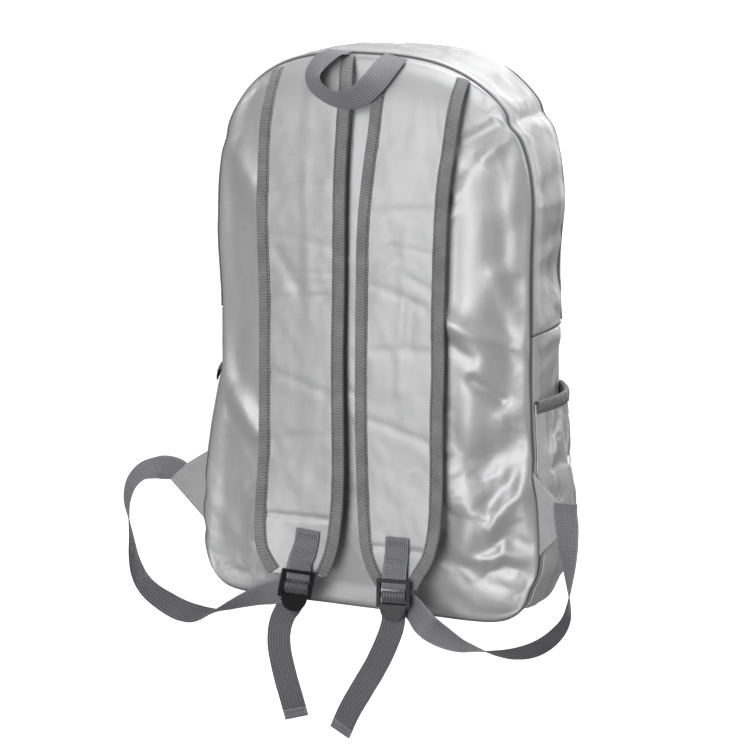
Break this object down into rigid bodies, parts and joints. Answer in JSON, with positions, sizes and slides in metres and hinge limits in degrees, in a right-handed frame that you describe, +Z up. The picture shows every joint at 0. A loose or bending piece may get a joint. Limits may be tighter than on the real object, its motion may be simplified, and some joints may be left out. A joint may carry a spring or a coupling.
{
  "type": "packable backpack",
  "caption": "Soft light backpack, stuffed full, with padded shoulder straps, ladder-lock buckles with hanging webbing, side pockets, a carrying loop and an arched zip.",
  "frame": {"origin": "middle of the back panel's top seam, where the straps and the carrying loop are sewn in and the bag is held", "axes": "+X to the viewer's right when facing the back panel, +Y from the back panel through the bag to its front, +Z up"},
  "size_m": [0.4032, 0.176, 0.5626],
  "materials": {
    "cloth": "satin woven nylon, light silver grey",
    "zip_tape": "matte woven tape with a moulded coil, grey",
    "edge_tape": "ribbed matte edge tape, mid grey",
    "webbing": "ribbed woven webbing, slightly bluish mid grey",
    "elastic": "matte woven elastic, grey",
    "buckle_plastic": "moulded black plastic, soft sheen"
  },
  "bodies": {
    "root": {"back_panel": "cloth", "front_panel": "cloth", "top_gusset": "cloth", "top_gusset_front": "cloth", "side_gusset_left": "cloth", "side_gusset_right": "cloth", "base_gusset": "cloth", "zip": "zip_tape", "zip_slider": "buckle_plastic", "zip_pull": "buckle_plastic", "carry_loop": "webbing", "pocket_left": "cloth", "pocket_right": "cloth", "pocket_elastic_left": "elastic", "pocket_elastic_right": "elastic", "strap_pad_left": "cloth", "strap_pad_right": "cloth", "strap_binding_left_outer": "edge_tape", "strap_binding_left_inner": "edge_tape", "strap_binding_right_outer": "edge_tape", "strap_binding_right_inner": "edge_tape", "buckle_left": "buckle_plastic", "buckle_right": "buckle_plastic", "buckle_anchor_left": "webbing", "buckle_anchor_right": "webbing", "strap_tab_left": "cloth", "strap_tab_right": "cloth", "webbing_left": "webbing", "webbing_right": "webbing"}
  },
  "joints": []
}
